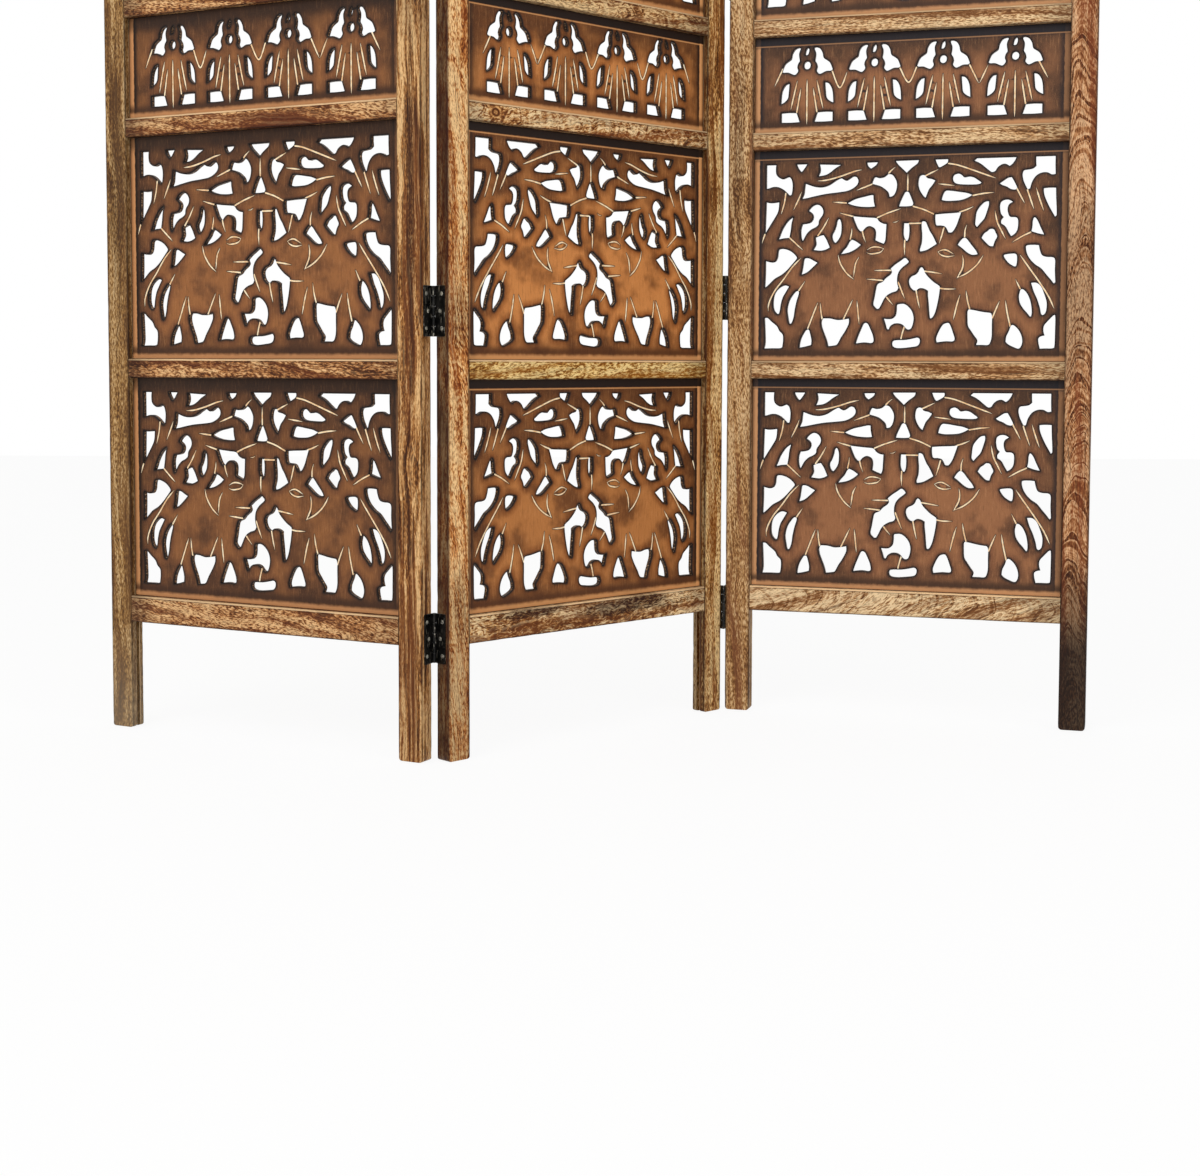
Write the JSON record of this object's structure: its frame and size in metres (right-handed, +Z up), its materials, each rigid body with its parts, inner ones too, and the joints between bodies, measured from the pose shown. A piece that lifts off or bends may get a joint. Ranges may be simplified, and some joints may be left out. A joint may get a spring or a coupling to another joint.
{
  "type": "carved jali folding screen",
  "caption": "Folding room screen: hinged wooden frames on feet, holding fret-cut and carved boards of facing elephants under a tree and a band of birds.",
  "frame": {"origin": "on the floor, at the middle of the plan box of the screen as it stands half folded in a zigzag", "axes": "+Z up; the screen's front faces -Y; +X runs to the right as seen from the front; every panel turns about its own fold, so no axis lies along a panel"},
  "size_m": [1.349, 0.3766, 1.651],
  "materials": {
    "mango_wood": "distressed and burnt, waxed",
    "fretwork_board": "stained brown with burnt edges, satin",
    "hinge_iron": "blackened"
  },
  "bodies": {
    "left_panel": {"left_fold_outer_leaves": "hinge_iron", "left_panel_bird_board": "fretwork_board", "left_panel_bottom_elephant_board": "fretwork_board", "left_panel_bottom_rail": "mango_wood", "left_panel_fifth_rail": "mango_wood", "left_panel_fourth_rail": "mango_wood", "left_panel_left_stile": "mango_wood", "left_panel_right_stile": "mango_wood", "left_panel_second_elephant_board": "fretwork_board", "left_panel_second_rail": "mango_wood", "left_panel_third_elephant_board": "fretwork_board", "left_panel_third_rail": "mango_wood", "left_panel_top_elephant_board": "fretwork_board", "left_panel_top_rail": "mango_wood"},
    "middle_panel": {"left_fold_inner_leaves": "hinge_iron", "left_fold_pins": "hinge_iron", "middle_panel_bird_board": "fretwork_board", "middle_panel_bottom_elephant_board": "fretwork_board", "middle_panel_bottom_rail": "mango_wood", "middle_panel_fifth_rail": "mango_wood", "middle_panel_fourth_rail": "mango_wood", "middle_panel_left_stile": "mango_wood", "middle_panel_right_stile": "mango_wood", "middle_panel_second_elephant_board": "fretwork_board", "middle_panel_second_rail": "mango_wood", "middle_panel_third_elephant_board": "fretwork_board", "middle_panel_third_rail": "mango_wood", "middle_panel_top_elephant_board": "fretwork_board", "middle_panel_top_rail": "mango_wood", "right_fold_inner_leaves": "hinge_iron", "right_fold_pins": "hinge_iron"},
    "right_panel": {"right_fold_outer_leaves": "hinge_iron", "right_panel_bird_board": "fretwork_board", "right_panel_bottom_elephant_board": "fretwork_board", "right_panel_bottom_rail": "mango_wood", "right_panel_fifth_rail": "mango_wood", "right_panel_fourth_rail": "mango_wood", "right_panel_left_stile": "mango_wood", "right_panel_right_stile": "mango_wood", "right_panel_second_elephant_board": "fretwork_board", "right_panel_second_rail": "mango_wood", "right_panel_third_elephant_board": "fretwork_board", "right_panel_third_rail": "mango_wood", "right_panel_top_elephant_board": "fretwork_board", "right_panel_top_rail": "mango_wood"}
  },
  "joints": [
    {"name": "left_fold", "type": "hinge", "parent": "middle_panel", "child": "left_panel", "pos_m": [-0.20964, -0.16709, 0.8255], "axis": [0, 0, 1], "range_deg": [-109.2, 70.6]},
    {"name": "right_fold", "type": "hinge", "parent": "middle_panel", "child": "right_panel", "pos_m": [0.18057, 0.16501, 0.8255], "axis": [0, 0, 1], "range_deg": [-119, 60.8]}
  ]
}
